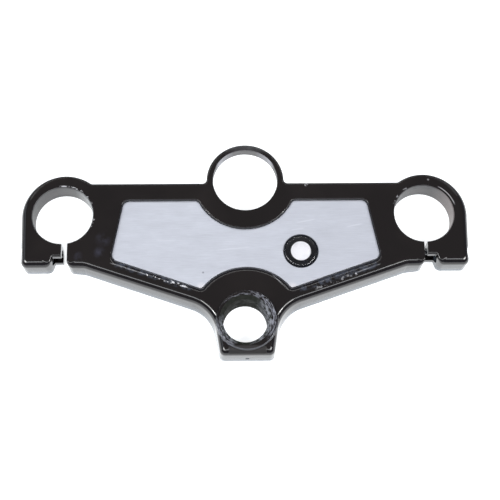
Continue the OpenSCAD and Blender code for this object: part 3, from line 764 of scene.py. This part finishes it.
def plate_material():
    """Brushed aluminium: fine grain and slow mottling, painted shade that darkens it to the right, with rubs and a
    speck.
    """
    mat, s = material("brushed_plate")
    grain = s.noise(1, 5, 0.7, s.mapped((110, 2100, 1), math.radians(-1.5)))
    mottle = s.noise(1, 4, 0.6, s.mapped((45, 150, 1), math.radians(3)))
    fine = s.plus(s.times(grain, 0.6), s.times(mottle, 0.4))
    base = s.mix(s.ramp(fine, 0.36, 0.64), PLATE_DARK, PLATE_LIGHT)
    # Painted shade: the plate darkens towards the right.
    base = s.mix(s.edge(s.x, -10, 70, 0.13), base, PLATE_PAINTED_SHADE)
    rubs = s.either(*[s.band(start, end, 0.28, 0.28) for start, end in RUBS])
    base = s.mix(s.times(rubs, 0.2), base, RUB)
    tips = s.either(*[s.spot(x, y, 3.2, 2.0) for x, y in PLATE_TIPS])
    base = s.mix(s.times(tips, 0.35), base, TIP)
    base = s.mix(s.times(s.spot(*PLATE_SPECK, 0.6), 0.75), base, SPECK)
    tangent = s.node("ShaderNodeTangent", direction_type="UV_MAP", uv_map="brushing").outputs[0]
    s.principled(Base_Color=base, Roughness=0.5, Metallic=0.55, Anisotropic=0.5, Tangent=tangent,
                 Normal=s.bump(grain, 0.10, 0.0001))
    return mat


def foil_material():
    """A plain pale disc on black."""
    mat, s = material("badge_foil")
    disc = s.spot(CAST_SHIFT + BADGE[0], BADGE[1], BADGE_DISC_R + 0.1, 0.2)
    s.principled(Base_Color=s.mix(disc, BADGE_BLACK, BADGE_WHITE), Roughness=0.35, Specular_IOR_Level=0.0)
    return mat


def dome_material():
    """Clear resin: see-through, with gloss by Fresnel."""
    mat, s = material("badge_resin", located=False)
    clear = s.node("ShaderNodeBsdfTransparent", {"Color": (0.98, 0.98, 0.99, 1)})
    gloss = s.node("ShaderNodeBsdfGlossy", {"Color": (1, 1, 1, 1), "Roughness": 0.17})
    fresnel = s.node("ShaderNodeFresnel", {"IOR": 1.5})
    s.surface(s.node("ShaderNodeMixShader", {0: fresnel.outputs[0], 1: clear.outputs[0],
                                             2: gloss.outputs[0]}).outputs[0])
    return mat


def dome_profile():
    """The resin's section: a rounded edge that leans less and less, then a low crown."""
    dome_r = BADGE_R - INLAY_GAP
    crown_r = dome_r - DOME_EDGE_R * (math.sin(DOME_LEAN) - math.sin(DOME_CROWN))
    top = DOME_Z + DOME_TOP
    crown_z = top - crown_r * math.tan(DOME_CROWN) / 2
    profile = [(0, DOME_Z), (dome_r, DOME_Z)]
    for i in range(DOME_RINGS + 1):
        lean = DOME_LEAN + (DOME_CROWN - DOME_LEAN) * i / DOME_RINGS
        profile.append((crown_r + DOME_EDGE_R * (math.sin(lean) - math.sin(DOME_CROWN)),
                        crown_z - DOME_EDGE_R * (math.cos(DOME_CROWN) - math.cos(lean))))
    for i in range(CROWN_RINGS - 1, 0, -1):
        share = i / CROWN_RINGS
        profile.append((crown_r * share, crown_z + (top - crown_z) * (1 - share ** 2)))
    return profile + [(0, top)]


def dress_casting(obj):
    """Paint everywhere, and a material of its own on each bore's wall and chamfer."""
    mesh = obj.data
    mesh.materials.clear()
    for mat in (paint_material(), bore_material(), ring_material(), stem_material()):
        mesh.materials.append(mat)
    bores = ((FORK_X, FORK_Y, FORK_R + FORK_CHAMFER, 1), (-FORK_X, FORK_Y, FORK_R + FORK_CHAMFER, 1),
             (CAST_SHIFT, LOCK_Y, LOCK_R + LOCK_CHAMFER, 2), (0, 0, STEM_R + STEM_CHAMFER, 3))
    for face in mesh.polygons:
        corners = [mesh.vertices[i].co / MM for i in face.vertices]
        for x, y, r, index in bores:
            if all(math.hypot(c.x - x, c.y - y) < r + BORE_SLACK for c in corners):
                face.material_index = index


def lay_brushing(obj):
    """A UV layer along the part's axes, for the direction of the brushing."""
    layer = obj.data.uv_layers.new(name="brushing")
    for loop in obj.data.loops:
        co = obj.data.vertices[loop.vertex_index].co
        layer.data[loop.index].uv = (co.x / (2 * FORK_X * MM) + 0.5, co.y / (2 * FORK_X * MM))


yoke = make_casting()
inlay = loft("inlay", RECESS_PATH, [(INLAY_Z, INLAY_GAP, 0, 0, 0), (FOIL_Z - INLAY_BREAK, INLAY_GAP, 0, 0, 0),
                                    (FOIL_Z, INLAY_GAP + INLAY_BREAK, 0, 0, 0)], CAST_SHIFT)
badge_x, badge_y = CAST_SHIFT + BADGE[0], BADGE[1]
foil = turned("badge_disc", [(0, FOIL_Z), (BADGE_R, FOIL_Z), (BADGE_R, DOME_Z - FOIL_BREAK),
                             (BADGE_R - FOIL_BREAK, DOME_Z), (0, DOME_Z)], badge_x, badge_y)
dome = turned("badge_dome_clear", dome_profile(), badge_x, badge_y)

dress_casting(yoke)
lay_brushing(inlay)
inlay.data.materials.append(plate_material())
foil.data.materials.append(foil_material())
dome.data.materials.append(dome_material())
for obj in (yoke, inlay, foil, dome):
    obj.data.shade_smooth()
    obj.data.set_sharp_from_angle(angle=CREASE)
for obj in (yoke, inlay, foil):
    mod = obj.modifiers.new("flat faces win", "WEIGHTED_NORMAL")
    mod.keep_sharp = True
    mod.weight = 60
for obj, node in ((yoke, "yoke_casting"), (inlay, "inlay_plate"), (foil, "badge_foil"), (dome, "badge_dome")):
    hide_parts(node)
    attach(obj, "root")


def make_floor():
    """A pale floor that is white to the camera and keeps the part's shadow."""
    mesh = bpy.data.meshes.new("floor")
    h = FLOOR_HALF
    mesh.from_pydata([(-h, -h, 0), (h, -h, 0), (h, h, 0), (-h, h, 0)], [], [(0, 1, 2, 3)])
    obj = bpy.data.objects.new("floor", mesh)
    bpy.context.scene.collection.objects.link(obj)
    mat, s = material("pale_floor", located=False)
    diffuse = s.node("ShaderNodeBsdfDiffuse", {"Color": (FLOOR_GREY, FLOOR_GREY, FLOOR_GREY, 1)})
    path = s.node("ShaderNodeLightPath").outputs
    seen = s.either(path["Is Camera Ray"], path["Is Transmission Ray"])
    strength = s.plus(s.times(seen, FLOOR_SEEN), s.times(path["Is Glossy Ray"], FLOOR_IN_GLOSS))
    glow = s.node("ShaderNodeEmission", {"Color": FLOOR_TINT, "Strength": strength})
    s.surface(s.node("ShaderNodeAddShader", {0: diffuse.outputs[0], 1: glow.outputs[0]}).outputs[0])
    mesh.materials.append(mat)
    return obj


floor = make_floor()


def make_world():
    """A soft studio that changes with height, and is white where the camera sees it."""
    world = bpy.data.worlds.new("studio")
    bpy.context.scene.world = world
    world.use_nodes = True
    s = Shader(world.node_tree)
    coord = s.node("ShaderNodeTexCoord").outputs["Generated"]
    up = s.node("ShaderNodeSeparateXYZ", {0: coord}).outputs["Z"]
    studio = s.node("ShaderNodeValToRGB", {"Fac": up})
    stops = studio.color_ramp.elements
    for i, (height, colour) in enumerate(WORLD_LEVELS):
        stop = stops[i] if i < 2 else stops.new(height)
        stop.position, stop.color = height, with_alpha(colour)
    seen = s.node("ShaderNodeLightPath").outputs["Is Camera Ray"]
    level = s.mix(seen, studio.outputs[0], (1, 1, 1))
    back = s.node("ShaderNodeBackground", {"Color": level, "Strength": 1.0})
    s.node("ShaderNodeOutputWorld", {"Surface": back.outputs[0]})


def strip_lamp(name, start, end, width, radiance, colour):
    """A lamp between two points, turned towards the part."""
    start, end = Vector(start), Vector(end)
    middle = (start + end) / 2
    along = (end - start).normalized()
    back = middle - Vector(LAMP_AIM)
    back = (back - back.dot(along) * along).normalized()
    data = bpy.data.lights.new(name, "AREA")
    data.shape = "RECTANGLE"
    data.size, data.size_y = (end - start).length, width
    data.energy = radiance * math.pi * data.size * width
    data.color = colour
    obj = bpy.data.objects.new(name, data)
    bpy.context.scene.collection.objects.link(obj)
    obj.matrix_world = Matrix.Translation(middle) @ Matrix((along, back.cross(along), back)).transposed().to_4x4()


def fitted_camera():
    """The camera at the photo's viewing angle."""
    turn, height, roll = CAMERA_TURN, CAMERA_HEIGHT, CAMERA_ROLL
    back = Vector((math.sin(turn) * math.cos(height), -math.cos(turn) * math.cos(height), math.sin(height)))
    level = Vector((0, 0, 1)).cross(back).normalized()
    upright = back.cross(level)
    right = math.cos(roll) * level + math.sin(roll) * upright
    upward = -math.sin(roll) * level + math.cos(roll) * upright
    cam = bpy.data.cameras.new("camera")
    cam.sensor_width = SENSOR
    cam.lens = CAMERA_FOCAL * SENSOR
    cam.shift_x, cam.shift_y = CAMERA_SHIFT
    cam.clip_start, cam.clip_end = 0.01, 20
    obj = bpy.data.objects.new("camera", cam)
    bpy.context.scene.collection.objects.link(obj)
    obj.matrix_world = Matrix.Translation(CAMERA_AT) @ Matrix((right, upward, back)).transposed().to_4x4()
    bpy.context.scene.camera = obj


make_world()
for lamp in LAMPS:
    strip_lamp(*lamp)
fitted_camera()
bpy.context.scene.view_settings.view_transform = "Standard"
